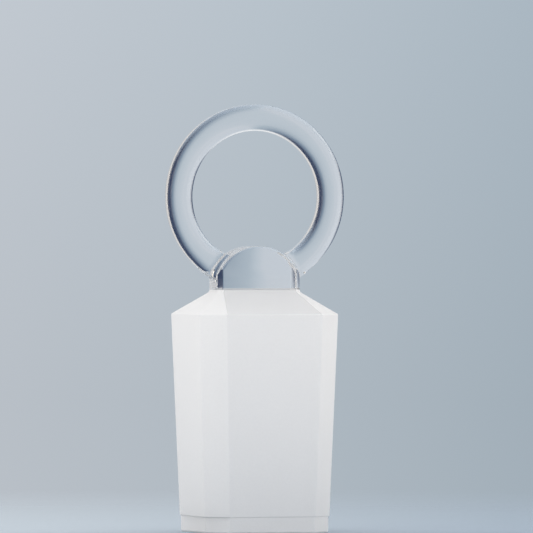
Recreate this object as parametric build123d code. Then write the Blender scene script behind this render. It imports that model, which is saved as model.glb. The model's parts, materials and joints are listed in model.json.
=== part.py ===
from build123d import *
from math import sqrt
import os

# Glass stopper cut and polished from one piece of clear glass, in millimetres.
# It stands on its foot with +Z up. The origin is the middle of the foot's flat base.
# From the base up: a plain foot, a tapered plug with ground sides, a sloping shoulder, a narrow
# upright collar with an arched top, and an upright flat ring to lift it by. The foot and plug are
# squares with their corners cut off, seen from above, and the collar is an oblong with cut corners.
# The collar and the ring stand in the XZ plane, square to two of the plug's flat sides.

# Driving dimensions

plug_top_width = 25.4  # across the flats at the plug's widest place
plug_corner_cut = 4.0  # taken off each side of a corner at that place
plug_height = 38.2  # base to the plug's top edge
plug_taper = 0.075  # width lost for each millimetre of height, going down

foot_height = 2.9  # base to the small step under the ground sides
foot_step = 0.18  # how far the foot stands in from the plug's sides
base_arris = 0.3  # small bevel round the base

shoulder_height = 3.9  # plug's top edge to the collar

collar_width = 15.0  # along X, across the flats
collar_depth = 6.6  # along Y, across the flats
collar_corner_cut = 0.8  # taken off each side of a corner
collar_rise = 8.0  # shoulder to the crown of the arch
arch_margin = 0.6  # the straight sides run this far above where the ring comes out of them

ring_outer_radius = 16.15
ring_band = 4.65  # outer edge to the finger hole, along a radius
ring_thickness = 3.15  # front to back
ring_seat = 0.5  # shoulder to the lowest place of the ring's outer edge, inside the collar

root_round = 0.6  # hollow rounding where the ring runs into the collar
root_share = 0.8  # the most of the collar's flat side, beside the ring, that the rounding takes

# Sizes that follow from them: the arch springs from the collar's sides just above where the ring
# comes out of them, and the roots' rounding stays on the flat part of those sides

corner_share = plug_corner_cut / plug_top_width
shoulder_top = plug_height + shoulder_height
ring_centre = shoulder_top + ring_seat + ring_outer_radius
ring_exit = ring_centre - sqrt(ring_outer_radius**2 - (collar_width / 2) ** 2)
arch_height = shoulder_top + collar_rise - (ring_exit + arch_margin)
arch_radius = (arch_height**2 + (collar_width / 2) ** 2) / (2 * arch_height)
arch_centre = shoulder_top + collar_rise - arch_radius
side_wall = collar_depth / 2 - collar_corner_cut - ring_thickness / 2
root_radius = min(root_round, root_share * side_wall)


def plug_width_at(height):
    """Width across the flats of the ground sides at a height above the base."""
    return plug_top_width - plug_taper * (plug_height - height)


def cut_corner_plan(width, depth, corner_cut, height):
    """An oblong with its corners cut off, lying flat at a height above the base."""
    outline = chamfer(Rectangle(width, depth).vertices(), corner_cut)
    return Pos(0, 0, height) * outline


def plug_plan_at(height):
    """The plug's section at a height: a square whose cut corners shrink with its width."""
    width = plug_width_at(height)
    return cut_corner_plan(width, width, width * corner_share, height)


def make_foot():
    """The short straight foot, set in by the step, with a bevelled base."""
    width = plug_width_at(foot_height) - 2 * foot_step
    plan = cut_corner_plan(width, width, width * corner_share, 0)
    foot = extrude(plan, amount=foot_height)
    base = foot.faces().sort_by(Axis.Z)[0]
    return chamfer(base.edges(), base_arris)


def make_plug():
    """The ground plug, whose flats and corner faces all taper to one point."""
    return loft([plug_plan_at(foot_height), plug_plan_at(plug_height)], ruled=True)


def make_shoulder():
    """The sloping faces between the plug's top edge and the collar."""
    high = cut_corner_plan(collar_width, collar_depth, collar_corner_cut, shoulder_top)
    return loft([plug_plan_at(plug_height), high], ruled=True)


def make_collar():
    """The upright collar, straight at its sides and arched from side to side on top."""
    plan = cut_corner_plan(collar_width, collar_depth, collar_corner_cut, shoulder_top)
    block = extrude(plan, amount=collar_rise)
    arch = Pos(0, 0, arch_centre) * Rot(90, 0, 0) * Cylinder(arch_radius, collar_depth)
    return block & arch


def make_ring():
    """The upright ring, a flat band turned about the Y axis through its own centre."""
    middle_radius = ring_outer_radius - ring_band / 2
    section = Pos(middle_radius, 0, 0) * Rectangle(ring_band, ring_thickness)
    return Pos(0, 0, ring_centre) * revolve(section, Axis.Y)


def make_stopper():
    """Everything as one solid, with the ring's roots rounded into the collar."""
    body = make_foot() + make_plug() + make_shoulder() + make_collar()
    ring = make_ring()
    joined = body + ring
    roots = new_edges(body, ring, combined=joined)
    return fillet(roots, root_radius)


os.makedirs("parts", exist_ok=True)
stopper = make_stopper()
export_step(stopper, "parts/stopper.step")
print("stopper solids", len(stopper.solids()), "volume", round(stopper.volume, 1))
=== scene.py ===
"""Looks for the one-piece glass stopper: its polished and ground glass, the studio and the camera."""

import json
import logging
import math
from dataclasses import dataclass, field
from enum import Enum
from typing import Any

import bmesh
import bpy
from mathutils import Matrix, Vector

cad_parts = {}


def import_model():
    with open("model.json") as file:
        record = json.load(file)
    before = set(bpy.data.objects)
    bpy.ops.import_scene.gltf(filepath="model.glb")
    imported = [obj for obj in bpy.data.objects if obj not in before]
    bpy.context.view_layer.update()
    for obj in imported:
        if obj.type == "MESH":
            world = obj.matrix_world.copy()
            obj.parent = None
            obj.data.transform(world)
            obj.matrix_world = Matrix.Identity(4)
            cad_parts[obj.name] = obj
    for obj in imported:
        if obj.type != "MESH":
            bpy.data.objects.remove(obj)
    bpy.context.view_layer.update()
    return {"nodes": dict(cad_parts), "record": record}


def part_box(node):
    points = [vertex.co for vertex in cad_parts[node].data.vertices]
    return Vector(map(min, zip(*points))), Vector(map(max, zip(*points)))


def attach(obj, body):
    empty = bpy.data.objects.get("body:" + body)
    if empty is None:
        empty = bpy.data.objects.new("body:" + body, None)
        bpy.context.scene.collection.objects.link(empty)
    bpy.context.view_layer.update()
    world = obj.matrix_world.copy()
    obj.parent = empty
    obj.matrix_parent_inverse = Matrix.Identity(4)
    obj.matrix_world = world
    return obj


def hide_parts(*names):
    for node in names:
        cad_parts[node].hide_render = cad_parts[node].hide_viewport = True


LOG = logging.getLogger("glass_stopper")
Colour = tuple[float, float, float]

# The Mix node's sockets for colours, which share their names with those for numbers
MIX_FACTOR, MIX_FIRST, MIX_SECOND, MIX_RESULT = 0, 6, 7, 2


class Value:
    """A number socket that takes part in Python arithmetic by adding Math nodes."""

    def __init__(self, graph: "Graph", socket: Any) -> None:
        """Keeps the node graph and the socket that carries the number."""
        self.graph = graph
        self.socket = socket

    def _math(self, operation: str, first: Any, second: Any = None, clamp: bool = False) -> "Value":
        """Adds one Math node.

        Args:
            operation: the Math node's operation.
            first: the first number, a Value or a plain float.
            second: the second number, if the operation takes one.
            clamp: keeps the result between 0 and 1.

        Returns:
            The node's result as a Value.
        """
        given = {0: first} if second is None else {0: first, 1: second}
        settings = {"operation": operation, "use_clamp": clamp}
        return Value(self.graph, self.graph.add("ShaderNodeMath", settings, given).outputs[0])

    def __add__(self, other: Any) -> "Value":
        """self + other."""
        return self._math("ADD", self, other)

    __radd__ = __add__

    def __sub__(self, other: Any) -> "Value":
        """self - other."""
        return self._math("SUBTRACT", self, other)

    def __rsub__(self, other: Any) -> "Value":
        """other - self."""
        return self._math("SUBTRACT", other, self)

    def __mul__(self, other: Any) -> "Value":
        """self * other."""
        return self._math("MULTIPLY", self, other)

    __rmul__ = __mul__

    def __truediv__(self, other: Any) -> "Value":
        """self / other."""
        return self._math("DIVIDE", self, other)

    def clamped(self) -> "Value":
        """The value held between 0 and 1."""
        return self._math("ADD", self, 0.0, clamp=True)

    def angle_to(self, other: "Value") -> "Value":
        """The angle whose sine part is self and whose cosine part is other, in radians."""
        return self._math("ARCTAN2", self, other)

    def root(self) -> "Value":
        """The square root."""
        return self._math("SQRT", self)

    def size(self) -> "Value":
        """The value without its sign."""
        return self._math("ABSOLUTE", self)

    def side(self) -> "Value":
        """1 above zero, -1 below it and 0 at it."""
        return self._math("SIGN", self)

    def above(self, limit: Any) -> "Value":
        """1 where the value is more than a limit, else 0."""
        return self._math("GREATER_THAN", self, limit)

    def eased(self) -> "Value":
        """A value from 0 to 1 with a soft start and a soft end."""
        return self * self * (3.0 - 2.0 * self)


class Graph:
    """A node tree with one way to add any node."""

    def __init__(self, tree: Any) -> None:
        """Empties the tree and keeps it."""
        self.tree = tree
        self.tree.nodes.clear()

    def add(self, kind: str, settings: dict[str, Any] | None = None,
            inputs: dict[Any, Any] | None = None) -> Any:
        """Adds a node, sets it up and fills its inputs.

        Args:
            kind: the node's type name.
            settings: properties to set first; "stops" fills a colour ramp.
            inputs: values or links by socket name or number.

        Returns:
            The new node.
        """
        node = self.tree.nodes.new(kind)
        for name, value in (settings or {}).items():
            if name == "stops":
                self._fill_ramp(node.color_ramp, value)
            else:
                setattr(node, name, value)
        for name, value in (inputs or {}).items():
            self.feed(node.inputs[name], value)
        return node

    def feed(self, socket: Any, value: Any) -> None:
        """Links a Value or a socket to an input, or sets a plain value on it.

        Args:
            socket: the input.
            value: a Value, a socket or a plain value.
        """
        if isinstance(value, Value):
            value = value.socket
        if isinstance(value, bpy.types.NodeSocket):
            self.tree.links.new(value, socket)
        else:
            socket.default_value = value

    @staticmethod
    def _fill_ramp(ramp: Any, stops: list[tuple[float, Colour]]) -> None:
        """Sets a colour ramp's stops.

        Args:
            ramp: the ramp.
            stops: places from 0 to 1 with their colours, in order.
        """
        while len(ramp.elements) > 1:
            ramp.elements.remove(ramp.elements[-1])
        for number, (place, colour) in enumerate(stops):
            element = ramp.elements[0] if number == 0 else ramp.elements.new(place)
            element.position = place
            element.color = (*colour, 1.0)

    def number(self, socket: Any) -> Value:
        """Wraps a socket as a Value."""
        return Value(self, socket)


@dataclass(frozen=True)
class View:
    """Where the camera stands: the direction it looks from, its distance and what it takes in."""

    azimuth: float = math.radians(-16.5)
    elevation: float = math.radians(0.5)
    distance: float = 2.5
    frame_width: float = 0.0933
    sensor: float = 36.0
    look_right: float = 0.0021
    look_height: float = 0.0465
    nearest: float = 0.01
    farthest: float = 100.0

    @property
    def half_angle(self) -> float:
        """Half of what the camera takes in, from side to side."""
        return math.atan(self.frame_width / 2 / self.distance)

    @property
    def forward(self) -> Vector:
        """The level direction that the camera looks along."""
        return Vector((-math.sin(self.azimuth), math.cos(self.azimuth), 0.0))

    @property
    def right(self) -> Vector:
        """The level direction to the camera's right."""
        return Vector((math.cos(self.azimuth), math.sin(self.azimuth), 0.0))

    def place_camera(self) -> None:
        """Makes the camera and gives it to the scene."""
        data = bpy.data.cameras.new("camera")
        data.sensor_width = self.sensor
        data.lens = self.sensor * self.distance / self.frame_width
        camera = bpy.data.objects.new("camera", data)
        bpy.context.scene.collection.objects.link(camera)
        target = self.right * self.look_right + Vector((0.0, 0.0, self.look_height))
        back = -self.forward * math.cos(self.elevation) + Vector((0, 0, math.sin(self.elevation)))
        camera.location = target + back * self.distance
        camera.rotation_mode = "QUATERNION"
        camera.rotation_quaternion = (-back).to_track_quat("-Z", "Y")
        data.clip_start, data.clip_end = self.nearest, self.farthest
        bpy.context.scene.camera = camera


@dataclass(frozen=True)
class Softbox:
    """A plain rectangular studio light, aimed at the middle of the stopper."""

    name: str
    place: tuple[float, float, float]
    width: float
    height: float
    watts: float
    colour: Colour = (1.0, 1.0, 1.0)

    def place_light(self, view: View, aim: Vector) -> None:
        """Makes the light. Its place is right, forward and up, as the camera sees them.

        Args:
            view: where the camera stands.
            aim: the point that the light faces.
        """
        data = bpy.data.lights.new(self.name, "AREA")
        data.shape = "RECTANGLE"
        data.size, data.size_y = self.width, self.height
        data.energy, data.color = self.watts, self.colour
        light = bpy.data.objects.new(self.name, data)
        bpy.context.scene.collection.objects.link(light)
        across, along, up = self.place
        light.location = view.right * across + view.forward * along + Vector((0, 0, up))
        light.rotation_mode = "QUATERNION"
        light.rotation_quaternion = (aim - light.location).to_track_quat("-Z", "Y")
        light.visible_camera = False


LAMPS = (
    Softbox("side_left", (-0.45, 0.05, 0.15), 0.30, 0.45, 0.55, (1.0, 0.91, 0.80)),
    Softbox("side_right", (0.45, 0.12, 0.15), 0.30, 0.45, 0.60, (1.0, 0.91, 0.78)),
    Softbox("front_left", (-0.35, -0.45, 0.25), 0.30, 0.45, 0.20),
)
LAMP_AIM = (0.0, 0.0, 0.04)


@dataclass(frozen=True)
class StudioRoom:
    """The room round the stopper: a plain blue-grey backdrop, pale and dark card at its sides."""

    light_strength: float = 1.12
    overhead_lift: float = 0.25
    backdrop_stops: tuple[tuple[float, Colour], ...] = (
        (0.0, (0.535, 0.580, 0.632)),
        (0.5, (0.478, 0.540, 0.598)),
        (1.0, (0.405, 0.477, 0.540)),
    )
    low_shade: float = 0.10
    shade_top: float = 0.010
    shade_depth: float = 0.028
    card_stops: tuple[tuple[float, Colour], ...] = (
        (0.00, (0.43, 0.49, 0.55)),
        (0.04, (0.43, 0.49, 0.55)),
        (0.06, (0.95, 0.93, 0.90)),
        (0.15, (0.90, 0.86, 0.82)),
        (0.20, (0.30, 0.27, 0.24)),
        (0.30, (0.03, 0.05, 0.09)),
        (0.38, (0.04, 0.07, 0.14)),
        (0.42, (0.62, 0.66, 0.71)),
        (0.497, (0.535, 0.580, 0.632)),
        (0.50, (0.467, 0.529, 0.587)),
        (0.503, (0.390, 0.460, 0.523)),
        (0.53, (0.16, 0.22, 0.30)),
        (0.56, (0.015, 0.035, 0.09)),
        (0.72, (0.015, 0.03, 0.08)),
        (0.735, (0.42, 0.37, 0.33)),
        (0.765, (0.42, 0.37, 0.33)),
        (0.78, (0.02, 0.04, 0.09)),
        (0.82, (0.02, 0.04, 0.09)),
        (0.86, (0.80, 0.76, 0.72)),
        (0.94, (0.95, 0.93, 0.90)),
        (0.96, (0.43, 0.49, 0.55)),
        (1.00, (0.43, 0.49, 0.55)),
    )
    overhead_start: float = 0.45
    overhead_depth: float = 0.25
    overhead_colour: Colour = (0.95, 0.95, 0.95)

    def build(self, view: View) -> None:
        """Fills the world: what the eye sees directly, what glass shows, and the soft light.

        Args:
            view: where the camera stands, which the backdrop and the cards are set out from.
        """
        world = bpy.data.worlds.new("studio_room")
        world.use_nodes = True
        bpy.context.scene.world = world
        graph = Graph(world.node_tree)
        direction = graph.add("ShaderNodeTexCoord").outputs["Generated"]
        across = self._along(graph, direction, view.right)
        ahead = self._along(graph, direction, view.forward)
        up = self._along(graph, direction, Vector((0.0, 0.0, 1.0)))
        angle = across.angle_to(ahead)
        share = (angle / (2 * view.half_angle) + 0.5).clamped()
        backdrop = graph.add("ShaderNodeValToRGB", {"stops": self.backdrop_stops}, {"Fac": share})
        shade = 1.0 - self.low_shade * ((self.shade_top - up) / self.shade_depth).clamped()
        round_share = (angle / (2 * math.pi) + 0.5).clamped()
        cards = graph.add("ShaderNodeValToRGB", {"stops": self.card_stops}, {"Fac": round_share})
        overhead = ((up - self.overhead_start) / self.overhead_depth).clamped()
        surround = graph.add("ShaderNodeMix", {"data_type": "RGBA"}, {
            MIX_FACTOR: overhead,
            MIX_FIRST: cards.outputs["Color"],
            MIX_SECOND: (*self.overhead_colour, 1.0),
        })
        path = graph.add("ShaderNodeLightPath")
        seen = graph.number(path.outputs["Is Camera Ray"])
        in_glass = (graph.number(path.outputs["Is Glossy Ray"])
                    + graph.number(path.outputs["Is Transmission Ray"])).clamped()
        evenness = 1.0 + self.overhead_lift * up.clamped()
        soft = graph.add("ShaderNodeBackground", None, {
            "Color": (1.0, 1.0, 1.0, 1.0), "Strength": self.light_strength * evenness})
        direct = graph.add("ShaderNodeBackground", None,
                           {"Color": backdrop.outputs["Color"], "Strength": shade})
        through = graph.add("ShaderNodeBackground", None, {"Color": surround.outputs[MIX_RESULT]})
        lit = graph.add("ShaderNodeMixShader", None,
                        {0: in_glass, 1: soft.outputs[0], 2: through.outputs[0]})
        shown = graph.add("ShaderNodeMixShader", None,
                          {0: seen, 1: lit.outputs[0], 2: direct.outputs[0]})
        graph.add("ShaderNodeOutputWorld", None, {"Surface": shown.outputs[0]})

    @staticmethod
    def _along(graph: Graph, direction: Any, axis: Vector) -> Value:
        """How far a direction goes along an axis."""
        node = graph.add("ShaderNodeVectorMath", {"operation": "DOT_PRODUCT"},
                         {0: direction, 1: tuple(axis)})
        return graph.number(node.outputs["Value"])


@dataclass(frozen=True)
class StudioFloor:
    """A pale round table top that fades into the backdrop towards its rim, with painted shade: its
    colour runs from lighter on the view's left to darker on its right.
    """

    radius: float = 0.30
    solid_radius: float = 0.035
    painted_shade_width: float = 0.0933
    # painted shade: the table's colour, lighter on the view's left and darker on its right, as the light
    # falls off across it
    colour_with_painted_shade_stops: tuple[tuple[float, Colour], ...] = (
        (0.0, (0.40, 0.45, 0.50)),
        (0.5, (0.35, 0.40, 0.455)),
        (1.0, (0.285, 0.34, 0.405)),
    )
    spokes: int = 96

    def build(self, view: View) -> None:
        """Makes the disc and its material.

        Args:
            view: where the camera stands, which the colour and its painted shade run across.
        """
        mesh = bpy.data.meshes.new("table_top")
        shape = bmesh.new()
        bmesh.ops.create_circle(shape, cap_ends=True, segments=self.spokes, radius=self.radius)
        shape.to_mesh(mesh)
        shape.free()
        floor = bpy.data.objects.new("table_top", mesh)
        bpy.context.scene.collection.objects.link(floor)
        mesh.materials.append(self._material(view))

    def _material(self, view: View) -> Any:
        """A matt surface near the stopper that clears towards the rim, its colour darkened towards the
        view's right as painted shade.

        Args:
            view: where the camera stands.

        Returns:
            The material.
        """
        material = bpy.data.materials.new("matt_table")
        material.use_nodes = True
        graph = Graph(material.node_tree)
        place = graph.add("ShaderNodeTexCoord").outputs["Object"]
        reach = graph.add("ShaderNodeVectorMath", {"operation": "LENGTH"}, {0: place})
        across = graph.add("ShaderNodeVectorMath", {"operation": "DOT_PRODUCT"},
                           {0: place, 1: tuple(view.right)})
        # painted shade: how far across the view a point lies picks its colour, darker towards the right
        share = (graph.number(across.outputs["Value"]) / self.painted_shade_width + 0.5).clamped()
        colour = graph.add("ShaderNodeValToRGB", {"stops": self.colour_with_painted_shade_stops}, {"Fac": share})
        distance = graph.number(reach.outputs["Value"])
        clear = ((distance - self.solid_radius) / (self.radius - self.solid_radius)).clamped()
        matt = graph.add("ShaderNodeBsdfPrincipled", None, {
            "Base Color": colour.outputs["Color"], "Roughness": 1.0, "Specular IOR Level": 0.0})
        gone = graph.add("ShaderNodeBsdfTransparent")
        mixed = graph.add("ShaderNodeMixShader", None,
                          {0: clear, 1: matt.outputs[0], 2: gone.outputs[0]})
        graph.add("ShaderNodeOutputMaterial", None, {"Surface": mixed.outputs[0]})
        return material


class GlassFinish(Enum):
    """How much of a surface's look is ground: 0 is polished clear, as the rest is, 1 is ground white."""

    SHOULDER_FRONT = 0.6
    SHOULDER_END = 0.95
    PLUG = 1.0


@dataclass(frozen=True)
class StopperGlass:
    """Clear glass, polished on the ring and collar and finely ground below them."""

    refraction: float = 1.5
    tint: Colour = (0.97, 0.985, 1.0)
    wave_size: float = 0.006
    wave_depth: float = 0.000004
    wave_detail: float = 1.0
    ground_stops: tuple[tuple[float, Colour], ...] = (
        (0.30, (0.885, 0.882, 0.885)),
        (0.70, (0.92, 0.915, 0.915)),
    )
    ground_roughness: float = 0.5
    ground_roughness_spread: float = 0.12
    ground_clearness: float = 0.10
    ground_glow: float = 0.35
    glow_colour: Colour = (0.902, 0.898, 0.900)
    grain_size: float = 0.00035
    grain_depth: float = 0.000003
    grain_detail: float = 3.0
    zone: str = "ground"

    def make(self) -> Any:
        """Makes the material, which reads the piece's own attribute to tell ground from polished.

        Returns:
            The material.
        """
        material = bpy.data.materials.new("clear_glass")
        material.use_nodes = True
        graph = Graph(material.node_tree)
        place = graph.add("ShaderNodeTexCoord").outputs["Object"]
        ground = graph.add("ShaderNodeAttribute", {"attribute_name": self.zone})
        waves = graph.add("ShaderNodeTexNoise", None,
                          {"Vector": place, "Scale": 1 / self.wave_size,
                           "Detail": self.wave_detail})
        waved = graph.add("ShaderNodeBump", None, {
            "Height": waves.outputs["Fac"], "Distance": self.wave_depth, "Strength": 1.0})
        polished = graph.add("ShaderNodeBsdfPrincipled", None, {
            "Base Color": (*self.tint, 1.0),
            "Roughness": 0.0,
            "IOR": self.refraction,
            "Transmission Weight": 1.0,
            "Normal": waved.outputs["Normal"],
        })
        grain = graph.add("ShaderNodeTexNoise", None,
                          {"Vector": place, "Scale": 1 / self.grain_size,
                           "Detail": self.grain_detail})
        speckle = graph.number(grain.outputs["Fac"])
        colour = graph.add("ShaderNodeValToRGB", {"stops": self.ground_stops}, {"Fac": speckle})
        rough = self.ground_roughness + self.ground_roughness_spread * (speckle - 0.5)
        grained = graph.add("ShaderNodeBump", None, {
            "Height": speckle, "Distance": self.grain_depth, "Strength": 1.0})
        frosted = graph.add("ShaderNodeBsdfPrincipled", None, {
            "Base Color": colour.outputs["Color"],
            "Roughness": rough,
            "IOR": self.refraction,
            "Transmission Weight": self.ground_clearness,
            "Normal": grained.outputs["Normal"],
        })
        glow = graph.add("ShaderNodeBsdfTranslucent", None, {"Color": (*self.glow_colour, 1.0)})
        milky = graph.add("ShaderNodeMixShader", None, {
            0: self.ground_glow, 1: frosted.outputs[0], 2: glow.outputs[0]})
        mixed = graph.add("ShaderNodeMixShader", None, {
            0: ground.outputs["Fac"], 1: polished.outputs[0], 2: milky.outputs[0]})
        graph.add("ShaderNodeOutputMaterial", None, {"Surface": mixed.outputs[0]})
        return material


@dataclass(frozen=True)
class RingSection:
    """The finger ring's section: a flat band with full round rims and a faint crown."""

    outer_radius: float
    centre_height: float
    band: float = 0.00465
    thickness: float = 0.00315
    rim_round: float = 0.0011
    face_crown: float = 0.00006
    rim_steps: int = 6
    face_steps: int = 3
    root_angle: float = math.radians(32.5)
    fade_angle: float = math.radians(7.0)

    @property
    def middle_radius(self) -> float:
        """Halfway between the finger hole and the outer edge."""
        return self.outer_radius - self.band / 2

    def loop_places(self) -> list[float]:
        """Sets out a face's loops, closest where the face turns most.

        Returns:
            How far in from its rim each loop lies, from the rim inwards.
        """
        turns = [math.pi / 2 * step / self.rim_steps for step in range(self.rim_steps + 1)]
        places = [self.rim_round * (1 - math.cos(turn)) for turn in turns]
        flat = self.band / 2 - self.rim_round
        places += [self.rim_round + flat * step / (self.face_steps + 1)
                   for step in range(1, self.face_steps + 1)]
        return places


@dataclass
class GlassStopper:
    """The stopper itself: one piece, from the foot to the top of the ring."""

    ring: RingSection
    plug_top: float
    glass: StopperGlass = field(default_factory=StopperGlass)
    node: str = "stopper"
    shoulder_height: float = 0.0039
    collar_depth: float = 0.0066
    collar_foot: float = 0.00035
    arch_foot: float = 0.0030
    arch_arris: float = 0.00050
    root_reach: float = 0.0007
    plug_arris: float = 0.00012
    arris_steps: int = 3
    arris_angle: float = math.radians(18)
    flat_angle: float = math.radians(0.6)
    weld: float = 1e-6
    slack: float = 0.00002
    rim_slack: float = 0.00006
    rim_margin: float = 0.0001
    square_on: float = 0.999
    fewest_corners: int = 20
    end_facing: float = 0.15

    def build(self, nodes: dict[str, Any]) -> Any:
        """Makes the piece from a merged copy of the frame's solid.

        Args:
            nodes: the frame's nodes by name.

        Returns:
            The finished object.
        """
        mesh = nodes[self.node].data.copy()
        mesh.name = "glass_body"
        mesh.materials.clear()
        material = self.glass.make()
        mesh.materials.append(material)
        self._prepare(mesh)
        piece = bpy.data.objects.new("glass_body", mesh)
        bpy.context.scene.collection.objects.link(piece)
        self._add_arrises(piece)
        self._add_finish(piece, material)
        graph = bpy.context.evaluated_depsgraph_get()
        finished = bpy.data.meshes.new_from_object(piece.evaluated_get(graph))
        piece.modifiers.clear()
        piece.data = finished
        finished.shade_smooth()
        finished.set_sharp_from_angle(angle=self.arris_angle)
        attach(piece, "root")
        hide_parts(self.node)
        return piece

    def _prepare(self, mesh: Any) -> None:
        """Merges the copy, gives the ring's faces their loops and marks the sharp edges.

        Args:
            mesh: a copy of the frame's solid, which is changed.
        """
        shape = bmesh.new()
        shape.from_mesh(mesh)
        bmesh.ops.remove_doubles(shape, verts=shape.verts, dist=self.weld)
        bmesh.ops.dissolve_limit(shape, angle_limit=self.flat_angle, verts=shape.verts,
                                 edges=shape.edges)
        for face in self._ring_faces(shape):
            self._add_loops(shape, face)
        self._weigh_arrises(shape)
        shape.to_mesh(mesh)
        shape.free()

    def _ring_faces(self, shape: Any) -> list[Any]:
        """Finds the ring's flat front and back.

        Args:
            shape: the merged solid.

        Returns:
            The two faces.
        """
        half = self.ring.thickness / 2
        return [face for face in shape.faces
                if abs(abs(face.calc_center_median().y) - half) < self.slack
                and abs(face.normal.y) > self.square_on
                and len(face.verts) > self.fewest_corners]

    def _add_loops(self, shape: Any, face: Any) -> None:
        """Splits a ring face into loops that follow its rims and one strip along its middle.

        Args:
            shape: the merged solid.
            face: the ring's front or back, which is replaced.
        """
        corners = [loop.vert for loop in face.loops]
        chains = [self._chain(shape, vert) if self._takes_loops(vert.co) else [vert]
                  for vert in corners]
        shape.faces.remove(face)
        strip: list[Any] = []
        for place, chain in enumerate(chains):
            before, after = chains[place - 1], chains[(place + 1) % len(chains)]
            if len(before) == 1:
                strip += chain[:-1]
            strip.append(chain[-1])
            if len(after) == 1:
                strip += reversed(chain[:-1])
            if len(chain) > 1 and len(after) > 1:
                for step in range(len(chain) - 1):
                    shape.faces.new((chain[step], after[step], after[step + 1], chain[step + 1]))
        shape.faces.new(strip)

    def _takes_loops(self, point: Vector) -> bool:
        """True for a rim's point that is clear of the roots."""
        down = self.ring.centre_height - point.z
        return self._on_rim(point) and math.atan2(abs(point.x), down) > self.ring.root_angle

    def _chain(self, shape: Any, vert: Any) -> list[Any]:
        """Adds new corners in line with a rim's corner, towards the face's middle.

        Args:
            shape: the merged solid.
            vert: the rim's corner.

        Returns:
            The rim's corner and the new ones, from the rim inwards.
        """
        spoke = Vector((vert.co.x, 0.0, vert.co.z - self.ring.centre_height))
        inwards = spoke.normalized() * (-1.0 if spoke.length > self.ring.middle_radius else 1.0)
        places = self.ring.loop_places()[1:]
        return [vert] + [shape.verts.new(vert.co + inwards * place) for place in places]

    def _on_rim(self, point: Vector) -> bool:
        """Tells whether a point is on one of the ring's four rims.

        Args:
            point: the point.

        Returns:
            True if it is.
        """
        if abs(abs(point.y) - self.ring.thickness / 2) > self.slack:
            return False
        reach = math.hypot(point.x, point.z - self.ring.centre_height)
        inner = self.ring.outer_radius - self.ring.band
        return min(abs(reach - self.ring.outer_radius), abs(reach - inner)) < self.rim_slack

    def _weigh_arrises(self, shape: Any) -> None:
        """Gives each sharp edge, but for the ring's, its share of the widest arris.

        Args:
            shape: the merged solid.
        """
        layer = shape.edges.layers.float.new("bevel_weight_edge")
        widest = self.arch_arris
        for edge in shape.edges:
            if edge.calc_face_angle(0.0) > self.arris_angle:
                edge[layer] = self._arris_at((edge.verts[0].co + edge.verts[1].co) / 2) / widest

    def _arris_at(self, point: Vector) -> float:
        """Tells how wide the arris is at a point.

        Args:
            point: the middle of a sharp edge.

        Returns:
            The width, which is nothing on the ring and its roots.
        """
        over_shoulder = point.z - (self.plug_top + self.shoulder_height)
        if over_shoulder < -self.slack:
            return self.plug_arris
        if over_shoulder < self.slack:
            return self.collar_foot
        if abs(point.y) > self.collar_depth / 2 - self.slack and over_shoulder > self.arch_foot:
            return self.arch_arris
        if abs(point.y) > self.ring.thickness / 2 + self.root_reach:
            return self.plug_arris
        return 0.0

    def _add_arrises(self, piece: Any) -> None:
        """Rounds the marked edges.

        Args:
            piece: the stopper's object.
        """
        rounding = piece.modifiers.new("arris", "BEVEL")
        rounding.limit_method = "WEIGHT"
        rounding.width = self.arch_arris
        rounding.segments = self.arris_steps
        rounding.use_clamp_overlap = False
        rounding.miter_outer = "MITER_ARC"

    def _finish_sizes(self) -> dict[str, float]:
        """The sizes that the finish takes, by the names of its inputs."""
        return {
            "Ring Centre Height": self.ring.centre_height,
            "Ring Outer Radius": self.ring.outer_radius,
            "Ring Band": self.ring.band,
            "Rim Rounding": self.ring.rim_round,
            "Face Crown": self.ring.face_crown,
            "Root Angle": self.ring.root_angle,
            "Fade Angle": self.ring.fade_angle,
            "Plug Top": self.plug_top,
            "Shoulder Height": self.shoulder_height,
            "Plug Finish": GlassFinish.PLUG.value,
            "Shoulder Front Finish": GlassFinish.SHOULDER_FRONT.value,
            "Shoulder End Finish": GlassFinish.SHOULDER_END.value,
        }

    def _add_finish(self, piece: Any, material: Any) -> None:
        """Adds the rule that rounds the ring and tells ground surfaces from polished ones.

        Args:
            piece: the stopper's object.
            material: the glass.
        """
        sizes = self._finish_sizes()
        tree = bpy.data.node_groups.new("stopper_finish", "GeometryNodeTree")
        tree.interface.new_socket("Geometry", in_out="INPUT", socket_type="NodeSocketGeometry")
        tree.interface.new_socket("Geometry", in_out="OUTPUT", socket_type="NodeSocketGeometry")
        sockets = {name: tree.interface.new_socket(name, in_out="INPUT",
                                                   socket_type="NodeSocketFloat")
                   for name in sizes}
        self._fill_finish(Graph(tree), list(sizes), material)
        modifier = piece.modifiers.new("finish", "NODES")
        modifier.node_group = tree
        for name, value in sizes.items():
            modifier[sockets[name].identifier] = value

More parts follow.
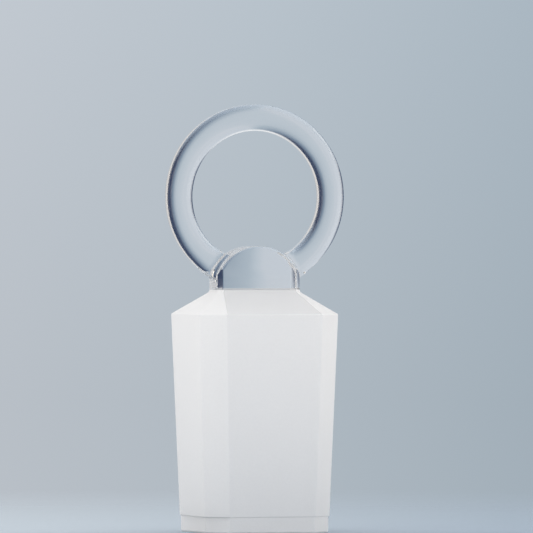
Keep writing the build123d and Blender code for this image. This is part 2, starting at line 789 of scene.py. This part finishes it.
    def _fill_finish(self, graph: Graph, names: list[str], material: Any) -> None:
        """Adds the finish's nodes.

        Args:
            graph: the finish's node tree.
            names: its inputs for sizes.
            material: the glass.
        """
        given = graph.add("NodeGroupInput")
        size = {name: graph.number(given.outputs[name]) for name in names}
        place = graph.add("GeometryNodeInputPosition").outputs[0]
        split = graph.add("ShaderNodeSeparateXYZ", None, {0: place})
        across, deep, high = (graph.number(split.outputs[name]) for name in "XYZ")
        drop = self._rim_drop(size, across, high)
        shift = graph.add("ShaderNodeCombineXYZ", None, {"Y": 0.0 - deep.side() * drop})
        rounded = graph.add("GeometryNodeSetPosition", None, {
            "Geometry": given.outputs["Geometry"], "Offset": shift.outputs[0]})
        zoned = graph.add("GeometryNodeStoreNamedAttribute",
                          {"data_type": "FLOAT", "domain": "FACE"},
                          {"Geometry": rounded.outputs[0], "Name": self.glass.zone,
                           "Value": self._ground_share(graph, size, high)})
        real = graph.add("GeometryNodeRealizeInstances", None, {0: zoned.outputs[0]})
        dressed = graph.add("GeometryNodeSetMaterial", None,
                            {"Geometry": real.outputs[0], "Material": material})
        graph.add("NodeGroupOutput", None, {0: dressed.outputs[0]})

    def _ground_share(self, graph: Graph, size: dict[str, Value], high: Value) -> Value:
        """Works out how ground a face is: the plug most, the shoulder less, the rest not at all.

        Args:
            graph: the finish's node tree.
            size: the tree's named sizes.
            high: the face's Z.

        Returns:
            The share, from 0 for polished to 1 for ground white.
        """
        in_plug = 1.0 - high.above(size["Plug Top"] + self.slack)
        in_shoulder = 1.0 - high.above(size["Plug Top"] + size["Shoulder Height"] + self.collar_foot)
        facing = graph.add("ShaderNodeSeparateXYZ", None,
                           {0: graph.add("GeometryNodeInputNormal").outputs[0]})
        at_end = graph.number(facing.outputs["X"]).size().above(self.end_facing)
        shoulder = (at_end * size["Shoulder End Finish"]
                    + (1.0 - at_end) * size["Shoulder Front Finish"])
        return in_plug * size["Plug Finish"] + (in_shoulder - in_plug) * shoulder

    def _rim_drop(self, size: dict[str, Value], across: Value, high: Value) -> Value:
        """Works out how far a point of the ring's faces sinks towards the ring's middle plane.

        Args:
            size: the tree's named sizes.
            across: the point's X.
            high: the point's Z.

        Returns:
            The drop, which is 0 off the ring and fades to 0 at the collar.
        """
        rise = high - size["Ring Centre Height"]
        reach = (across * across + rise * rise).root()
        half_band = size["Ring Band"] / 2.0
        off_middle = (reach - (size["Ring Outer Radius"] - half_band)).size()
        from_rim = half_band - off_middle
        turn = (1.0 - from_rim / size["Rim Rounding"]).clamped()
        rounding = size["Rim Rounding"] * (1.0 - (1.0 - turn * turn).root())
        share = (off_middle / half_band).clamped()
        crown = size["Face Crown"] * share * share
        from_below = across.size().angle_to(0.0 - rise)
        fade = ((from_below - size["Root Angle"]) / size["Fade Angle"]).clamped().eased()
        on_ring = from_rim.above(-self.rim_margin)
        return (rounding + crown) * fade * on_ring


def main() -> None:
    """Builds the stopper, the studio and the camera in order."""
    logging.basicConfig(level=logging.INFO, format="%(name)s: %(message)s")
    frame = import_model()
    view = View()
    StudioRoom().build(view)
    StudioFloor().build(view)
    low, high = (Vector(corner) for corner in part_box("stopper"))
    ring = RingSection(outer_radius=high.x, centre_height=high.z - high.x)
    plug_mount = next(mount for mount in frame["record"]["mounts"] if mount["name"] == "tapered_plug")
    piece = GlassStopper(ring, plug_top=plug_mount["pos_m"][2]).build(frame["nodes"])
    LOG.info("%s: %d faces", piece.name, len(piece.data.polygons))
    for lamp in LAMPS:
        lamp.place_light(view, Vector(LAMP_AIM))
        LOG.info("light %s", lamp.name)
    view.place_camera()
    bpy.context.scene.view_settings.view_transform = "Standard"


if __name__ == "__main__":
    main()
